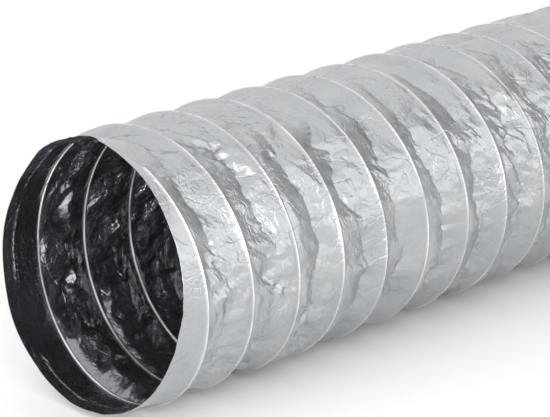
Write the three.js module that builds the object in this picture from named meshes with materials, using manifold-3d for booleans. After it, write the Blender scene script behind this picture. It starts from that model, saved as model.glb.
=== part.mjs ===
// Flexible air duct: a spring-steel wire helix held between an outer strip of
// aluminium laminate and an inner strip of black film, both wound with the wire.
// Every turn of the wire and every lap of a strip is a node of its own, because
// each turn moves against the next when the duct is pushed together or bent.
// Units are millimetres. The duct lies along Y with its front lip at -Y, and +Z is up.

import * as THREE from 'three';
import { mergeVertices } from 'three/addons/utils/BufferGeometryUtils.js';
import Module from 'manifold-3d';

const wasm = await Module();
wasm.setup();

// ---------------------------------------------------------------- dimensions

const TURNS = 14; // whole turns of the wire
const PITCH = 36; // from one turn of the wire to the next
const LENGTH = TURNS * PITCH;
const FACETS = 24; // flats round the duct; one of them faces straight down
const START_ANGLE = 97.5; // where the helix meets the front lip, from +X towards +Z

// Radii are at the corners of the flats.
const LINER_INSIDE = 76.5;
const LINER_THICKNESS = 0.4;
const WIRE_RADIUS = 0.6;
const WIRE_SIDES = 6;
const FOIL_THICKNESS = 0.5;
const GAP = 0.3; // clearance between neighbouring pieces

const WIRE_CENTRE = LINER_INSIDE + LINER_THICKNESS + GAP + WIRE_RADIUS;
const RIDGE_OUTSIDE = WIRE_CENTRE + WIRE_RADIUS + GAP + FOIL_THICKNESS;
const VALLEY_OUTSIDE = LINER_INSIDE + LINER_THICKNESS + GAP + FOIL_THICKNESS;
const RIDGE_HALF_WIDTH = 2.5; // the foil stays level this far to each side of a wire
const VALLEY_HALF_WIDTH = 5; // half the width of the flat bottom of a valley

const FACET_ANGLE = 360 / FACETS;
const AXIS_HEIGHT = RIDGE_OUTSIDE * Math.cos(THREE.MathUtils.degToRad(FACET_ANGLE / 2));
const FRONT = -LENGTH / 2;
const BACK = LENGTH / 2;

// ----------------------------------------------------------------- materials

const COLOURS = {
  foil: { color: 0xc8cbce, roughness: 0.32, metalness: 0.9 },
  liner: { color: 0x1b1d20, roughness: 0.25, metalness: 0.1 },
  wire: { color: 0xb9bcc0, roughness: 0.3, metalness: 1.0 },
};

// ------------------------------------------------------------------- helpers

// A point on the faceted tube. "along" is measured from the front lip, and
// "facet" counts flats clockwise from the helix's start, as seen from the front.
function onTube(along, radius, facet) {
  const whole = Math.floor(facet);
  const part = facet - whole;
  const corner = (n) => {
    const angle = THREE.MathUtils.degToRad(START_ANGLE - n * FACET_ANGLE);
    return new THREE.Vector2(Math.cos(angle), Math.sin(angle)).multiplyScalar(radius);
  };
  const p = corner(whole).lerp(corner(whole + 1), part);
  return new THREE.Vector3(p.x, FRONT + along, AXIS_HEIGHT + p.y);
}

// One turn of a section wound round the duct. The section's x runs along the duct
// from the helix line, its y is the radius. The turn covers "first" to "last" flat.
function windTurn(section, turn, first = 0, last = FACETS) {
  const flats = last - first;
  const curveSegments = WIRE_SIDES / 2; // a full circle takes twice this many
  const options = { depth: flats, steps: flats, bevelEnabled: false, curveSegments };
  let geometry = new THREE.ExtrudeGeometry(section, options);
  geometry.deleteAttribute('normal');
  geometry.deleteAttribute('uv');
  geometry = mergeVertices(geometry, 1e-4);
  const position = geometry.getAttribute('position');
  const endGap = GAP / 2 / (2 * WIRE_CENTRE * Math.sin(Math.PI / FACETS));
  for (let i = 0; i < position.count; i += 1) {
    const flat = first + position.getZ(i);
    const facet = THREE.MathUtils.clamp(flat, first + endGap, last - endGap);
    const along = position.getX(i) + PITCH * (turn + facet / FACETS);
    const p = onTube(along, position.getY(i), facet);
    position.setXYZ(i, p.x, p.y, p.z);
  }
  return geometry;
}

// Cuts away what a wound strip has in front of the front lip or behind the back one.
function trimEnds(geometry) {
  const solid = new wasm.Manifold(
    new wasm.Mesh({
      numProp: 3,
      vertProperties: new Float32Array(geometry.getAttribute('position').array),
      triVerts: new Uint32Array(geometry.getIndex().array),
    }),
  );
  const trimmed = solid.trimByPlane([0, 1, 0], FRONT).trimByPlane([0, -1, 0], -BACK);
  const mesh = trimmed.getMesh();
  const result = new THREE.BufferGeometry();
  const positions = new THREE.BufferAttribute(new Float32Array(mesh.vertProperties), 3);
  result.setAttribute('position', positions);
  result.setIndex(new THREE.BufferAttribute(new Uint32Array(mesh.triVerts), 1));
  return result;
}

function strip(points) {
  return new THREE.Shape(points.map(([x, y]) => new THREE.Vector2(x, y)));
}

// The foil's section: its outer line, and the same line one thickness further in.
function foilSection(line) {
  const inner = line.map(([x, r]) => [x, r - FOIL_THICKNESS]);
  return strip([...inner, ...line.reverse()]);
}

function node(name, geometry, colours) {
  const shown = geometry.toNonIndexed();
  shown.computeVertexNormals();
  const mesh = new THREE.Mesh(shown, new THREE.MeshStandardMaterial(colours));
  mesh.name = name;
  return mesh;
}

const numbered = (stem, n) => `${stem}_${String(n).padStart(2, '0')}`;

// ------------------------------------------------------------------ sections

const START = GAP / 2;
const END = PITCH - GAP / 2;
const MIDDLE = PITCH / 2;

const linerSection = strip([
  [START, LINER_INSIDE],
  [END, LINER_INSIDE],
  [END, LINER_INSIDE + LINER_THICKNESS],
  [START, LINER_INSIDE + LINER_THICKNESS],
]);

// Between two turns of the wire the foil dips into a shallow valley.
const foilBetweenWires = foilSection([
  [START, RIDGE_OUTSIDE],
  [RIDGE_HALF_WIDTH, RIDGE_OUTSIDE],
  [MIDDLE - VALLEY_HALF_WIDTH, VALLEY_OUTSIDE],
  [MIDDLE + VALLEY_HALF_WIDTH, VALLEY_OUTSIDE],
  [PITCH - RIDGE_HALF_WIDTH, RIDGE_OUTSIDE],
  [END, RIDGE_OUTSIDE],
]);

// In front of the first wire, and behind the last one, it runs on as a plain cuff.
const foilFrontCuff = foilSection([
  [START, VALLEY_OUTSIDE],
  [MIDDLE + VALLEY_HALF_WIDTH, VALLEY_OUTSIDE],
  [PITCH - RIDGE_HALF_WIDTH, RIDGE_OUTSIDE],
  [END, RIDGE_OUTSIDE],
]);

const foilBackCuff = foilSection([
  [START, RIDGE_OUTSIDE],
  [RIDGE_HALF_WIDTH, RIDGE_OUTSIDE],
  [MIDDLE - VALLEY_HALF_WIDTH, VALLEY_OUTSIDE],
  [END, VALLEY_OUTSIDE],
]);

const wireSection = new THREE.Shape();
wireSection.absarc(0, WIRE_CENTRE, WIRE_RADIUS, 0, 2 * Math.PI, false);

// ------------------------------------------------------------------ assembly

const duct = new THREE.Group();
duct.name = 'flexible_air_duct';

// The wire. Its two cut ends stop one flat short of the lips.
for (let turn = 1; turn <= TURNS; turn += 1) {
  const first = turn === 1 ? 1 : 0;
  const last = turn === TURNS ? FACETS - 1 : FACETS;
  const coil = windTurn(wireSection, turn - 1, first, last);
  duct.add(node(numbered('wire_turn', turn), coil, COLOURS.wire));
}

// The two strips. Lap 0 and the last lap are cut off square at the lips.
for (let lap = 0; lap <= TURNS; lap += 1) {
  const atEnd = lap === 0 || lap === TURNS;
  const cuff = lap === 0 ? foilFrontCuff : foilBackCuff;
  const foil = windTurn(atEnd ? cuff : foilBetweenWires, lap - 1);
  const liner = windTurn(linerSection, lap - 1);
  const cut = (geometry) => (atEnd ? trimEnds(geometry) : geometry);
  duct.add(node(numbered('outer_foil_lap', lap), cut(foil), COLOURS.foil));
  duct.add(node(numbered('inner_liner_lap', lap), cut(liner), COLOURS.liner));
}

export default duct;
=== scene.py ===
import math

import bpy
import numpy as np
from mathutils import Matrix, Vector


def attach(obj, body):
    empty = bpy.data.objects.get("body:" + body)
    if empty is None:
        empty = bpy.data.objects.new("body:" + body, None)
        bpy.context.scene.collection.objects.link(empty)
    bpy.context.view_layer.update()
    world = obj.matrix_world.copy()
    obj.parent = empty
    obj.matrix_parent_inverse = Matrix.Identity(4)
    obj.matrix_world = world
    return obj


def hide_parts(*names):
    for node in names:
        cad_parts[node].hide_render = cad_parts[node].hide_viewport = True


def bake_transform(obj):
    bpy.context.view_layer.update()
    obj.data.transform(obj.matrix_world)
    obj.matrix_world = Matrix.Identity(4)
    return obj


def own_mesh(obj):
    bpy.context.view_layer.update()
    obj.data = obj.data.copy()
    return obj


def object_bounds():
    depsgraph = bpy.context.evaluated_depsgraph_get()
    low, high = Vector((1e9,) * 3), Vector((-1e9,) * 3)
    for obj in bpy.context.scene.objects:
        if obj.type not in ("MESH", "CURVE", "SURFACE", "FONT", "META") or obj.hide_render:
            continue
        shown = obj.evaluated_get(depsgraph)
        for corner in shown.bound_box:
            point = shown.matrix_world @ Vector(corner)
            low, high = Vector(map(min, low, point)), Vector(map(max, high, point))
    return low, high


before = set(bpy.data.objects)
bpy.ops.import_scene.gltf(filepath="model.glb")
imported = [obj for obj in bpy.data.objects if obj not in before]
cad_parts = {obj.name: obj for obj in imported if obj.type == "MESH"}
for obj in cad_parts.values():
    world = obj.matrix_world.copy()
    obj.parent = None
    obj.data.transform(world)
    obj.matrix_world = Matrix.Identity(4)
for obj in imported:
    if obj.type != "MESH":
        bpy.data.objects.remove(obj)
cad_low, cad_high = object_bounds()

# A flexible air duct lying along Y with its front lip at -Y. Its wall is one continuous
# crumpled tube, worked out in millimetres and cut square across into short pieces: in
# every turn of the wire one piece folds up when the duct is pushed together and the next
# one bends.

# ------------------------------------------------------------------ dimensions

# Lengths are in millimetres. "along" is the distance from the front of the CAD model, and
# "angle" goes round the duct from +X towards +Z.
MM = 0.001
TURNS = sum(name.startswith("wire_turn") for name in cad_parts)
LENGTH = (cad_high.y - cad_low.y) / MM
PITCH = LENGTH / TURNS
AXIS_HEIGHT = (cad_high.z - cad_low.z) / 2 / MM
FRONT = cad_low.y / MM
HELIX_START = math.radians(97.5)  # where the wire meets the front lip
FIRST_TURN_LAG = 2.7  # the first turn sits this much further in than an even helix

WIRE_ENDS = 0.1  # share of a turn by which the wire stops short of either lip
WIRE_RADIUS = 0.6
WIRE_SIDES = 8
WIRE_STEPS = 150  # points along one turn of the wire
WIRE_CENTRE = AXIS_HEIGHT - 1.1  # radius of the wire's centre line
PLY = 0.12  # half the distance between the two skins away from the wire
RIDGE_OUT = 0.6  # how far the foil stands proud over the wire
RIDGE_OUT_WIDTH = 0.72
RIDGE_IN = 0.62  # and how far the film does inside
RIDGE_IN_WIDTH = 0.9 * RIDGE_OUT_WIDTH
BEAD_OUT_WIDTH = 0.44  # half the width of the painted highlight, a pale line over the wire, on the foil
BEAD_IN_WIDTH = 0.74  # and on the film
NO_WIRE = 99.0  # distance given where there is no wire on that side
BARE_FADE = 200  # added to the distance for each whole turn beyond the wire's end
CUFF_DROP = 3.0  # the cuffs' radius at the lips is this much less than over a wire
CUFF_TAPER = 9  # and most of that is lost in this distance

COLUMNS = 420  # points round the duct
ROWS = 18  # rows of points in one piece
CROWD = 1.5  # above 1 the rows stand closer together near the wire
EDGE_CLEAR = 0.15  # a wire nearer than this to a piece's edge gets no row of its own
ZONE = PITCH / 2  # length of one piece
CUT = 0.004  # every piece stops this much short of the next one
ROUND = 2 * math.pi * WIRE_CENTRE
AROUND = np.linspace(0, 2 * math.pi, COLUMNS + 1) + HELIX_START - 2 * math.pi

# The crease between two wires: its place across the strip, from 0 to 1, and its depth.
# Each wanders along the strip by layers of (amount, distance between corners, seed).
CREASE_PLACE = 0.28
CREASE_WANDER = [(0.3, 20, 11), (0.12, 8, 13)]
CREASE_DEPTH = 1.5
DEPTH_WANDER = [(4.3, 17, 12), (1.6, 7, 14)]

# Crumples from big to small: (height, size, seed, share kept between the knots, share kept
# on the calm cuffs). The knots are patches where the laminate is crumpled small.
CRUMPLES = [
    (1.9, 25, 31, 1.0, 0.0),
    (2.0, 11, 41, 0.2, 0.0),
    (1.3, 5.4, 51, 0.0, 0.0),
    (0.42, 2.7, 61, 0.1, 0.4),
]
LATTICE_ROWS = 256  # enough to reach along the duct with the smallest crumples
LATTICE_AHEAD = 40  # of which this many lie in front of it
CORNER_PUSH = 0.55  # how far a facet's corner is pushed about, as a share of its size
KNOT_SIZE = 34
KNOT_REACH = 0.22  # how far they reach from the crease, as a share of the strip
HELD = 3.2  # the wire holds the laminate flat within about this distance
CALM_CUFFS = 0.8  # share by which the cuffs are smoother than the rest

PLEAT_HEIGHT = 0.45  # small pleats beside the wire, where the laminate is gathered
PLEAT_SIZE = 3.6
PLEAT_REACH = 4.5
GATHER_SIZE = 15  # size of the patches where it is gathered

LIP_PLACE = -2.1  # the front lip's middle, from the front of the CAD model
LIP_TILT_X = -2.5
LIP_TILT_Z = 6.2

SLACK = 0.9  # how far the film hangs inside the foil at most
SLACK_SIZE = 13
FOLD = 0.8  # height of the fold in the film near the front lip
FOLD_PLACE = 8  # and its distance from the lip
FOLD_WIDTH = 1.3
FOLD_SIZE = 30  # the fold comes and goes over about this distance round the duct

# --------------------------------------------------------------- shape of the wall


def smooth(x):
    """0 below 0, 1 above 1, and an even S between them."""
    x = np.clip(x, 0, 1)
    return x * x * (3 - 2 * x)


def lattice(x, y, cell, seed):
    """Flat facets: random heights from -1 to 1 on a triangular lattice, closed round the duct."""
    random = np.random.default_rng(seed)
    count = max(3, round(ROUND / cell))
    height = random.uniform(-1, 1, (count, LATTICE_ROWS))
    flip = random.random((count, LATTICE_ROWS)) < 0.5
    gy = y / cell + LATTICE_AHEAD
    gx = x / ROUND * count + 0.5 * gy
    i, j = np.floor(gx).astype(int), np.floor(gy).astype(int) % (LATTICE_ROWS - 1)
    fx, fy = gx - np.floor(gx), gy - np.floor(gy)
    i = i % count
    turned = flip[i, j]
    left, right = height[i, j], height[(i + 1) % count, j]
    left_up, right_up = height[i, j + 1], height[(i + 1) % count, j + 1]
    a, b = np.where(turned, right, left), np.where(turned, left, right)
    c, d = np.where(turned, right_up, left_up), np.where(turned, left_up, right_up)
    f = np.where(turned, 1 - fx, fx)
    low = a + f * (b - a) + fy * (c - a)
    high = d + (1 - f) * (c - d) + (1 - fy) * (b - d)
    return np.where(f + fy < 1, low, high)


def facets(x, y, cell, seed):
    """The lattice with its corners pushed about, so that no two facets are alike."""
    push = CORNER_PUSH * cell
    wx = x + push * lattice(x, y, 1.9 * cell, seed + 1)
    wy = y + push * lattice(x, y, 1.7 * cell, seed + 2)
    return lattice(wx, wy, cell, seed)


def along_strip(distance, spacing, seed):
    """A polyline of random values from 0 to 1 with its corners about one spacing apart."""
    random = np.random.default_rng(seed)
    count = int((TURNS + 4) * ROUND / spacing)
    corners = np.cumsum(random.uniform(0.4, 1.6, count)) * spacing - 1.5 * ROUND
    return np.interp(distance, corners, random.random(count))


def wandering(distance, start, layers):
    """A value that wanders along the strip, and is never less than its start."""
    value = start
    for amount, spacing, seed in layers:
        value = value + amount * along_strip(distance, spacing, seed)
    return value


def helix(turns):
    """How far along the duct the wire is after this many turns."""
    return PITCH * turns + FIRST_TURN_LAG * np.maximum(1 - turns, 0)


def strip_place(angle, along):
    """Where points lie on the wound strips.

    Returns the strip's number, the share of a turn, the place across the strip from 0 at its
    front wire to 1 at its back wire, and the distance from the nearest wire.
    """
    share = ((HELIX_START - angle) / (2 * math.pi)) % 1
    first = (along - FIRST_TURN_LAG) / (PITCH - FIRST_TURN_LAG)
    number = np.floor(np.where(along < PITCH, first, along / PITCH) - share)
    low, high = helix(number + share), helix(number + 1 + share)
    across = (along - low) / (high - low)
    off_low = np.where(number >= 0, along - low, NO_WIRE)
    off_high = np.where(number < TURNS - 1, high - along, NO_WIRE)
    turn = number + share + (off_high < off_low)
    bare = np.maximum(WIRE_ENDS - turn, turn - TURNS + WIRE_ENDS)
    off = np.minimum(off_low, off_high) + BARE_FADE * np.maximum(bare, 0)
    return number, share, across, off


def wall(angle, along):
    """(radius of the wall's middle, mm from the nearest wire) at points on the duct."""
    number, share, across, off = strip_place(angle, along)
    x, y = angle * WIRE_CENTRE, along
    run = (number + share) * ROUND
    crease = wandering(run, CREASE_PLACE, CREASE_WANDER)
    depth = wandering(run, CREASE_DEPTH, DEPTH_WANDER)
    side = np.clip(np.where(across < crease, across / crease, (1 - across) / (1 - crease)), 0, 1)
    valley = depth * side**1.1

    # in front of the first wire and behind the last one the wall tapers to its cut lip
    ahead = helix(share) - along
    behind = along - helix(TURNS - 1 + share)
    beyond = np.maximum(np.where(number < 0, ahead, behind), 0)
    cuff = CUFF_DROP * (1 - np.exp(-beyond / CUFF_TAPER))
    plain = np.where(number < 0, 1 - smooth((share - 0.8) / 0.2), smooth(share / 0.2))
    plain = np.where((number < 0) | (number >= TURNS - 1), plain, 0)
    dip = valley * (1 - plain) + cuff * plain

    # the knots lie most of all along the crease
    patch = smooth((lattice(x, y, KNOT_SIZE, 21) + 0.25) / 0.9)
    near_crease = np.exp(-(((across - crease) / KNOT_REACH) ** 2))
    knots = 0.2 + 0.8 * patch * (0.45 + 0.55 * near_crease)
    calm = 1 - CALM_CUFFS * plain
    tight = 1 - np.exp(-((off / HELD) ** 2))
    crumple = 0
    for tall, size, seed, between_knots, on_cuffs in CRUMPLES:
        kept = (between_knots + (1 - between_knots) * knots) * (on_cuffs + (1 - on_cuffs) * calm)
        crumple = crumple + tall * facets(x, y, size, seed) * kept

    # small pleats beside the wire, and a slow sway of the cuffs
    gathered = smooth(lattice(x, y, GATHER_SIZE, 72) + 0.4)
    pleats = PLEAT_HEIGHT * np.exp(-off / PLEAT_REACH) * lattice(x, 0 * y, PLEAT_SIZE, 71)
    sway = 0.35 * np.sin(3 * angle + 0.6) + 0.25 * np.sin(5 * angle + along / 70)
    crumple = crumple + pleats * gathered * calm
    return WIRE_CENTRE - dip + crumple * tight + 0.5 * sway * plain, off


def front_lip(angle):
    """Where the wall is cut at the front: askew, and a little wavy."""
    tilt = LIP_TILT_X * np.cos(angle) + LIP_TILT_Z * np.sin(angle) + LIP_PLACE
    return tilt + 0.5 * np.sin(3 * angle + 1.1) + 0.3 * np.sin(8 * angle)


def back_lip(angle):
    """Where it is cut at the back: nearly square."""
    return LENGTH - 1.5 * np.cos(angle + 0.8) - 0.4 * np.sin(4 * angle)


def slack(angle, along, off):
    """How far the looser film hangs inside the foil, with a broken fold near the front lip."""
    x = angle * WIRE_CENTRE
    from_lip = along - front_lip(angle)
    free = smooth(np.minimum(from_lip, back_lip(angle) - along) / 5)
    loose = SLACK / 2 * (1 + facets(x, along, SLACK_SIZE, 81)) * (1 - np.exp(-((off / 3) ** 2)))
    line = np.exp(-(((from_lip - FOLD_PLACE) / FOLD_WIDTH) ** 2))
    return loose * free + FOLD * line * smooth(lattice(x, 0 * x, FOLD_SIZE, 82) + 0.7)


def outside(angle, along):
    """Radius of the foil's outer face."""
    radius, off = wall(angle, along)
    return radius + PLY + RIDGE_OUT * np.exp(-((off / RIDGE_OUT_WIDTH) ** 2))


def inside(angle, along):
    """Radius of the film's inner face."""
    radius, off = wall(angle, along)
    ridge = RIDGE_IN * np.exp(-((off / RIDGE_IN_WIDTH) ** 2))
    return radius - PLY - ridge - slack(angle, along, off)


def place(angle, along, radius):
    """Points in metres, in the frame's own axes."""
    x = radius * np.cos(angle)
    z = AXIS_HEIGHT + radius * np.sin(angle)
    return np.stack([x, FRONT + along, z], -1) * MM


def normals(skin, angle, along, sign):
    """The skin's own normals, from small steps on it, so that neighbouring pieces shade as one."""
    step = 0.3
    turn = step / WIRE_CENTRE
    before = place(angle - turn, along, skin(angle - turn, along))
    after = place(angle + turn, along, skin(angle + turn, along))
    nearer = place(angle, along - step, skin(angle, along - step))
    further = place(angle, along + step, skin(angle, along + step))
    n = np.cross(further - nearer, after - before) * sign
    return n / np.linalg.norm(n, axis=-1, keepdims=True)


# -------------------------------------------------------------- grids of points


def grid(low, high):
    """(angle, along) of rows of points from low to high, with a row on a wire that crosses."""
    low, high = low + 0 * AROUND, high + 0 * AROUND
    share = (HELIX_START - AROUND) / (2 * math.pi)
    turn = np.clip(np.round(((low + high) / 2) / PITCH - share), 0, TURNS - 1)
    wire = helix(turn + share)
    crossing = (wire > low + EDGE_CLEAR) & (wire < high - EDGE_CLEAR)
    part = np.where(crossing, (wire - low) / (high - low), 0.5)
    row = np.clip(np.round(part * ROWS), 1, ROWS - 1)
    step = np.arange(ROWS + 1)[:, None]
    crowd = np.where(crossing, CROWD, 1.0)
    lower = part * (1 - (1 - np.minimum(step / row, 1)) ** crowd)
    upper = part + (1 - part) * np.clip((step - row) / (ROWS - row), 0, 1) ** crowd
    t = np.where(step <= row, lower, upper)
    return np.broadcast_to(AROUND, t.shape), low + t * (high - low)


# ---------------------------------------------------------------------- materials

FOIL_DARK = (0.385, 0.405, 0.435, 1)
FOIL_LIGHT = (0.505, 0.515, 0.515, 1)
# painted highlight: the foil over the wire is painted near white so that the wire reads as a bright
# line
FOIL_PAINTED_HIGHLIGHT = (0.88, 0.88, 0.88, 1)
FILM_BLACK = (0.235, 0.245, 0.265, 1)
# painted highlight: the black film over the wire is painted near white so that the wire reads as a
# bright line inside
FILM_PAINTED_HIGHLIGHT = (0.97, 0.98, 1.0, 1)
WIRE_STEEL = (0.62, 0.63, 0.65, 1)
FLOOR_PALE = (0.85, 0.85, 0.85, 1)
FOIL_CRINKLE = 0.26 * MM  # depth of the finest creases
FILM_CRINKLE = 0.2 * MM
NOISE_LOW, NOISE_HIGH = 0.3, 0.7

# The scales of noise and creases below are in cycles for each metre of the wall at rest.


def make_material(name):
    """A new material with its nodes, its links and its shader."""
    material = bpy.data.materials.new(name)
    material.use_nodes = True
    nodes, links = material.node_tree.nodes, material.node_tree.links
    return material, nodes, links, nodes["Principled BSDF"]


def math_node(nodes, links, operation, first, second):
    """Two values, each a number or another node's output, put together."""
    node = nodes.new("ShaderNodeMath")
    node.operation = operation
    for socket, value in zip(node.inputs, (first, second)):
        if isinstance(value, (int, float)):
            socket.default_value = value
        else:
            links.new(value, socket)
    return node.outputs[0]


def attribute(nodes, name):
    """A value stored on the mesh: rest is the place at rest, bead is 1 over the wire, where a
    highlight is painted.
    """
    node = nodes.new("ShaderNodeAttribute")
    node.attribute_name = name
    return node


def mixed(nodes, links, factor, first, second):
    """A colour from first to second; either can be a colour or another node's output."""
    node = nodes.new("ShaderNodeMix")
    node.data_type = "RGBA"
    links.new(factor, node.inputs["Factor"])
    for socket, colour in (("A", first), ("B", second)):
        if isinstance(colour, tuple):
            node.inputs[socket].default_value = colour
        else:
            links.new(colour, node.inputs[socket])
    return node.outputs["Result"]


def rest_noise(nodes, links, scale, detail=2.0, stretch=(1, 1, 1)):
    """Noise laid on the wall at rest, so it stays put when the duct moves."""
    rest = attribute(nodes, "rest")
    mapping = nodes.new("ShaderNodeMapping")
    mapping.inputs["Scale"].default_value = stretch
    noise = nodes.new("ShaderNodeTexNoise")
    noise.inputs["Scale"].default_value = scale
    noise.inputs["Detail"].default_value = detail
    links.new(rest.outputs["Vector"], mapping.inputs["Vector"])
    links.new(mapping.outputs["Vector"], noise.inputs["Vector"])
    return noise.outputs["Fac"]


def spread(nodes, links, value, low, high):
    """The usual range of a noise, stretched to run from low to high."""
    node = nodes.new("ShaderNodeMapRange")
    node.inputs["From Min"].default_value = NOISE_LOW
    node.inputs["From Max"].default_value = NOISE_HIGH
    node.inputs["To Min"].default_value = low
    node.inputs["To Max"].default_value = high
    links.new(value, node.inputs["Value"])
    return node.outputs["Result"]


def creases(nodes, links, scale, width):
    """A net of narrow creases laid on the wall at rest: 0 along a crease and 1 between them."""
    rest = attribute(nodes, "rest")
    drift = nodes.new("ShaderNodeTexNoise")
    drift.inputs["Scale"].default_value = 0.7 * scale
    bent = nodes.new("ShaderNodeVectorMath")
    bent.operation = "MULTIPLY_ADD"
    bent.inputs[1].default_value = (0.5 / scale,) * 3
    cells = nodes.new("ShaderNodeTexVoronoi")
    cells.feature = "DISTANCE_TO_EDGE"
    cells.inputs["Scale"].default_value = scale
    line = nodes.new("ShaderNodeMapRange")
    line.inputs["From Max"].default_value = width
    links.new(rest.outputs["Vector"], drift.inputs["Vector"])
    links.new(drift.outputs["Color"], bent.inputs[0])
    links.new(rest.outputs["Vector"], bent.inputs[2])
    links.new(bent.outputs["Vector"], cells.inputs["Vector"])
    links.new(cells.outputs["Distance"], line.inputs["Value"])
    return line.outputs["Result"]


def crinkle(nodes, links, shader, depth, graininess):
    """Broken long creases, patches of small ones and a fine grain, as a bump."""
    breaks = spread(nodes, links, rest_noise(nodes, links, 24, 2), -0.3, 1.25)
    long = math_node(nodes, links, "MAXIMUM", creases(nodes, links, 75, 0.05), breaks)
    patches = spread(nodes, links, rest_noise(nodes, links, 28, 2), -0.1, 1.1)
    small = math_node(nodes, links, "MULTIPLY", creases(nodes, links, 230, 0.16), patches)
    grain = math_node(nodes, links, "MULTIPLY", rest_noise(nodes, links, 700, 3), graininess)
    height = math_node(nodes, links, "ADD", math_node(nodes, links, "MINIMUM", long, 1.0), small)
    bump = nodes.new("ShaderNodeBump")
    bump.inputs["Strength"].default_value = 0.7
    bump.inputs["Distance"].default_value = depth
    links.new(math_node(nodes, links, "ADD", height, grain), bump.inputs["Height"])
    links.new(bump.outputs["Normal"], shader.inputs["Normal"])


def foil_material():
    material, nodes, links, shader = make_material("aluminium_laminate")
    bead = attribute(nodes, "bead").outputs["Fac"]
    # painted highlight along the wire's ridge: the foil over the wire is painted pale and less
    # metallic, stronger and weaker along its length by noise
    painted_highlight_strength = spread(nodes, links, rest_noise(nodes, links, 38, 3), 0.25, 1.1)
    shown = math_node(nodes, links, "MULTIPLY", bead, painted_highlight_strength)
    tint = mixed(nodes, links, rest_noise(nodes, links, 45, 4), FOIL_DARK, FOIL_LIGHT)
    tint = mixed(nodes, links, shown, tint, FOIL_PAINTED_HIGHLIGHT)
    links.new(tint, shader.inputs["Base Color"])
    less = math_node(nodes, links, "MULTIPLY", shown, 0.3)
    links.new(math_node(nodes, links, "SUBTRACT", 1.0, less), shader.inputs["Metallic"])
    rough = spread(nodes, links, rest_noise(nodes, links, 120, 4), 0.26, 0.4)
    links.new(rough, shader.inputs["Roughness"])
    shader.inputs["Coat Weight"].default_value = 0.15
    shader.inputs["Coat Roughness"].default_value = 0.2
    crinkle(nodes, links, shader, FOIL_CRINKLE, 0.5)
    return material


def film_material():
    material, nodes, links, shader = make_material("black_film")
    bead = attribute(nodes, "bead").outputs["Fac"]
    # painted highlight over the wire: the film there is painted near white and made far less
    # metallic, so that it shows as a bright line
    tint = mixed(nodes, links, bead, FILM_BLACK, FILM_PAINTED_HIGHLIGHT)
    links.new(tint, shader.inputs["Base Color"])
    less = math_node(nodes, links, "MULTIPLY", bead, 0.9)
    links.new(math_node(nodes, links, "SUBTRACT", 0.97, less), shader.inputs["Metallic"])
    rough = spread(nodes, links, rest_noise(nodes, links, 90, 4), 0.12, 0.26)
    links.new(rough, shader.inputs["Roughness"])
    shader.inputs["Coat Weight"].default_value = 0.4
    shader.inputs["Coat Roughness"].default_value = 0.12
    crinkle(nodes, links, shader, FILM_CRINKLE, 0.12)
    return material


def wire_material():
    material, nodes, links, shader = make_material("spring_wire")
    shader.inputs["Metallic"].default_value = 1.0
    shader.inputs["Base Color"].default_value = WIRE_STEEL
    rough = spread(nodes, links, rest_noise(nodes, links, 300, 3, (1, 1, 6)), 0.2, 0.4)
    links.new(rough, shader.inputs["Roughness"])
    return material


def floor_material():
    material, nodes, links, shader = make_material("pale_floor")
    shader.inputs["Base Color"].default_value = FLOOR_PALE
    shader.inputs["Roughness"].default_value = 0.75
    return material


FOIL, FILM, WIRE = foil_material(), film_material(), wire_material()

# ------------------------------------------------------------------- mesh making


def mesh_object(name, points, faces, material, point_normals, rest, bead):
    """A smooth mesh that carries its points' own normals, places at rest and bead values."""
    mesh = bpy.data.meshes.new(name)
    mesh.vertices.add(len(points))
    mesh.vertices.foreach_set("co", points.astype(np.float32).ravel())
    mesh.loops.add(faces.size)
    mesh.loops.foreach_set("vertex_index", faces.astype(np.int32).ravel())
    mesh.polygons.add(len(faces))
    mesh.polygons.foreach_set("loop_start", np.arange(len(faces), dtype=np.int32) * faces.shape[1])
    mesh.update(calc_edges=True)
    mesh.validate()
    mesh.materials.append(material)
    mesh.shade_smooth()
    if point_normals is not None:
        mesh.normals_split_custom_set_from_vertices(point_normals)
    stored = mesh.attributes.new("rest", "FLOAT_VECTOR", "POINT")
    stored.data.foreach_set("vector", rest.astype(np.float32).ravel())
    shown = mesh.attributes.new("bead", "FLOAT", "POINT")
    shown.data.foreach_set("value", bead.astype(np.float32).ravel())
    piece = bpy.data.objects.new(name, mesh)
    bpy.context.scene.collection.objects.link(piece)
    return piece


def grid_faces(rows, columns, outward):
    """Triangles over rows x columns of points closed round the duct, split along the wire's way."""
    i, j = np.meshgrid(np.arange(rows - 1), np.arange(columns), indexing="ij")
    here, there = i * columns + j, i * columns + (j + 1) % columns
    above, across = here + columns, there + columns
    first = np.stack([here, above, there], -1).reshape(-1, 3)
    second = np.stack([above, across, there], -1).reshape(-1, 3)
    faces = np.concatenate([first, second])
    return faces if outward else faces[:, ::-1]


def skin_piece(name, skin, low, high, material, outward, edge):
    """One face of the wall between two rows; edge says at which end, if any, it is turned in."""
    angle, along = grid(low, high)
    angle, along = angle[:, :-1], along[:, :-1]
    points = place(angle, along, skin(angle, along))
    facing = normals(skin, angle, along, 1 if outward else -1)
    off = wall(angle, along)[1]
    # bead: where the highlight is painted over the wire, on the foil and on the film
    bead = np.exp(-((off / (BEAD_OUT_WIDTH if outward else BEAD_IN_WIDTH)) ** 2))
    if edge is not None:
        # the foil turns in over the cut edge as far as the film
        at_front = edge == "front"
        row = 0 if at_front else -1
        rim = place(angle[row], along[row], inside(angle[row], along[row]))
        ways = np.broadcast_to([0.0, -1.0 if at_front else 1.0, 0.0], rim.shape)
        parts = [(points, rim), (facing, ways), (bead, bead[row])]
        points, facing, bead = [
            np.concatenate([b[None], a] if at_front else [a, b[None]]) for a, b in parts
        ]
    rows, columns = points.shape[:2]
    flat = points.reshape(-1, 3)
    faces = grid_faces(rows, columns, outward)
    return mesh_object(name, flat, faces, material, facing.reshape(-1, 3), flat, bead.ravel())


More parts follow.
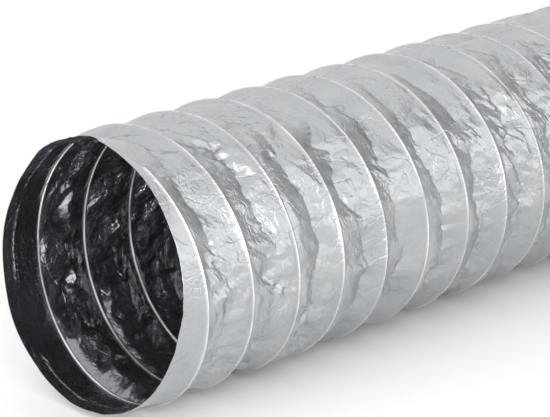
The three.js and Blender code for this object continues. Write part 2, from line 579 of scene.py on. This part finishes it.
def wire_piece(name, low, high):
    """The stretch of the helical wire that lies between two planes across the duct."""
    first = max(WIRE_ENDS, (low - WIRE_RADIUS) / PITCH)
    last = min(TURNS - WIRE_ENDS, (high + WIRE_RADIUS) / PITCH)
    count = int((last - first) * WIRE_STEPS)
    turns = np.linspace(first, last, count + 1)
    angle = HELIX_START - 2 * math.pi * turns
    round_wire = np.arange(WIRE_SIDES) * 2 * math.pi / WIRE_SIDES
    radius = WIRE_CENTRE + WIRE_RADIUS * np.sin(round_wire)[None, :] + 0 * turns[:, None]
    along = helix(turns)[:, None] + WIRE_RADIUS * np.cos(round_wire)[None, :]
    points = place(angle[:, None] + 0 * radius, np.clip(along, low, high), radius)
    flat = points.reshape(-1, 3)
    i, j = np.meshgrid(np.arange(count), np.arange(WIRE_SIDES), indexing="ij")
    here, there = i * WIRE_SIDES + j, i * WIRE_SIDES + (j + 1) % WIRE_SIDES
    faces = np.stack([here, there, there + WIRE_SIDES, here + WIRE_SIDES], -1).reshape(-1, 4)
    return mesh_object(name, flat, faces, WIRE, None, flat, np.zeros(len(flat)))


# ---------------------------------------------------------------------- assembly


def pieces_between(label, low, high, edge=None):
    """The foil, the film and the wire of one stretch of the duct."""
    foil = skin_piece(f"outer_foil_{label}", outside, low, high, FOIL, True, edge)
    film = skin_piece(f"inner_liner_{label}", inside, low, high, FILM, False, None)
    wire = wire_piece(f"wire_{label}", float(np.min(low)), float(np.max(high)))
    return foil, film, wire


def stand_for(lap, turn):
    """The CAD nodes that a foil, a film and a wire piece stand for."""
    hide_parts(f"outer_foil_lap_{lap:02d}")
    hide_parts(f"inner_liner_lap_{lap:02d}")
    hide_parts(f"wire_turn_{turn:02d}")


def build_duct():
    """The front cuff, a folding and a bending stretch for every turn, and the back cuff."""
    front = pieces_between("front", front_lip(AROUND), ZONE - CUT, "front")
    stand_for(0, 1)
    for piece in front:
        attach(piece, "turn_01")
    for k in range(1, TURNS):
        start = PITCH * k - ZONE
        middle, end = start + ZONE, start + PITCH
        fold = pieces_between(f"fold_{k:02d}", start + CUT, middle - CUT)
        stand_for(k - 1, k)
        for piece in fold:
            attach(piece, f"turn_{k:02d}")
            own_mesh(piece)
        bend = pieces_between(f"bend_{k:02d}", middle + CUT, end - CUT)
        stand_for(k, k + 1)
        for piece in bend:
            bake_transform(piece)
    back = pieces_between("back", LENGTH - ZONE + CUT, back_lip(AROUND), "back")
    stand_for(TURNS, TURNS)
    for piece in back:
        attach(piece, f"turn_{TURNS:02d}")


build_duct()

# ------------------------------------------------------------------------- studio

FLOOR_SIZE = 40  # metres
# The studio's grey by height on a ball one metre in radius: (height, grey)
SKY = [(-0.05, 1.0), (0.1, 1.05), (0.6, 1.1), (0.8, 1.16), (1.0, 1.2)]
# Soft boxes, and dark gaps below 0: direction, degrees out to the edge and out to where the
# full strength ends, strength
SOFT_BOXES = [
    ((0.85, 0.35, 0.38), 40, 16, 0.5),
    ((0.68, 0.68, 0.25), 24, 8, 0.42),
    ((0.35, 0.69, 0.63), 24, 8, -0.55),
    ((0.1, 0.97, 0.1), 36, 10, -0.5),
]
# Area lights: name, then place, aim, and width and height in metres, then power in watts
LIGHTS = [
    ("front", (0.9, -1.35, 0.5), (0, -0.2, 0.07), (2.0, 1.2), 12),
    ("mouth", (0.24, -0.9, 0.12), (-0.05, -0.2, 0.08), (0.35, 0.25), 5),
]

# The camera stands off from the middle of the front lip, so that the duct lies as it does in
# the photograph. Its distance and its two shifts are in units of about the duct's radius.
CAMERA_AZIMUTH = 43.7
CAMERA_ELEVATION = 17.8
CAMERA_UNIT = 78.0
CAMERA_DISTANCE = 17.0
CAMERA_RIGHT = 1.2954
CAMERA_UP = 0.4881
CAMERA_LENS = 160.4
LIP_MIDDLE = FRONT - 2.65


def add_floor():
    bpy.ops.mesh.primitive_plane_add(size=FLOOR_SIZE, location=(0, 0, 0))
    floor = bpy.context.object
    floor.name = "floor"
    floor.data.materials.append(floor_material())


def add_light(name, location, target, size, power):
    """A rectangular light that faces its target and isn't seen itself."""
    data = bpy.data.lights.new(name, "AREA")
    data.shape = "RECTANGLE"
    data.size, data.size_y = size
    data.energy = power
    light = bpy.data.objects.new(name, data)
    light.location = location
    light.visible_camera = False
    light.rotation_euler = (Vector(target) - Vector(location)).to_track_quat("-Z", "Y").to_euler()
    bpy.context.scene.collection.objects.link(light)


def add_world():
    """An even pale studio with two soft boxes to the right and two dark gaps behind the duct."""
    world = bpy.data.worlds.new("studio")
    bpy.context.scene.world = world
    world.use_nodes = True
    nodes, links = world.node_tree.nodes, world.node_tree.links
    way = nodes.new("ShaderNodeTexCoord").outputs["Generated"]
    split = nodes.new("ShaderNodeSeparateXYZ")
    links.new(way, split.inputs[0])
    height = nodes.new("ShaderNodeMapRange")
    height.inputs["From Min"].default_value = -1
    links.new(split.outputs["Z"], height.inputs["Value"])
    ramp = nodes.new("ShaderNodeValToRGB")
    elements = ramp.color_ramp.elements
    while len(elements) < len(SKY):
        elements.new(0.5)
    for element, (z, grey) in zip(elements, SKY):
        element.position = (z + 1) / 2
        element.color = (grey, grey, grey, 1)
    links.new(height.outputs["Result"], ramp.inputs["Fac"])
    total = ramp.outputs["Color"]
    for direction, edge, middle, strength in SOFT_BOXES:
        dot = nodes.new("ShaderNodeVectorMath")
        dot.operation = "DOT_PRODUCT"
        dot.inputs[1].default_value = Vector(direction).normalized()
        links.new(way, dot.inputs[0])
        box = nodes.new("ShaderNodeMapRange")
        box.interpolation_type = "SMOOTHSTEP"
        box.inputs["From Min"].default_value = math.cos(math.radians(edge))
        box.inputs["From Max"].default_value = math.cos(math.radians(middle))
        box.inputs["To Max"].default_value = strength
        links.new(dot.outputs["Value"], box.inputs["Value"])
        total = math_node(nodes, links, "ADD", total, box.outputs["Result"])
    links.new(total, nodes["Background"].inputs["Color"])


def add_camera():
    """At the photograph's angle: the front lip at the lower left, the duct running off right."""
    azimuth = math.radians(CAMERA_AZIMUTH)
    elevation = math.radians(CAMERA_ELEVATION)
    back = Vector(
        (
            math.sin(azimuth) * math.cos(elevation),
            -math.cos(azimuth) * math.cos(elevation),
            math.sin(elevation),
        )
    )
    right = Vector((math.cos(azimuth), math.sin(azimuth), 0))
    up = back.cross(right)
    lip = Vector((0, LIP_MIDDLE * MM, AXIS_HEIGHT * MM))
    shift = right * CAMERA_RIGHT + up * CAMERA_UP + back * CAMERA_DISTANCE
    camera_data = bpy.data.cameras.new("camera")
    camera_data.sensor_width = 36
    camera_data.lens = CAMERA_LENS
    camera_data.clip_end = 100
    camera = bpy.data.objects.new("camera", camera_data)
    camera.location = lip + shift * (CAMERA_UNIT * MM)
    camera.rotation_euler = (-back).to_track_quat("-Z", "Y").to_euler()
    bpy.context.scene.collection.objects.link(camera)
    bpy.context.scene.camera = camera


add_floor()
add_world()
for light in LIGHTS:
    add_light(*light)
add_camera()
bpy.context.scene.view_settings.view_transform = "Standard"
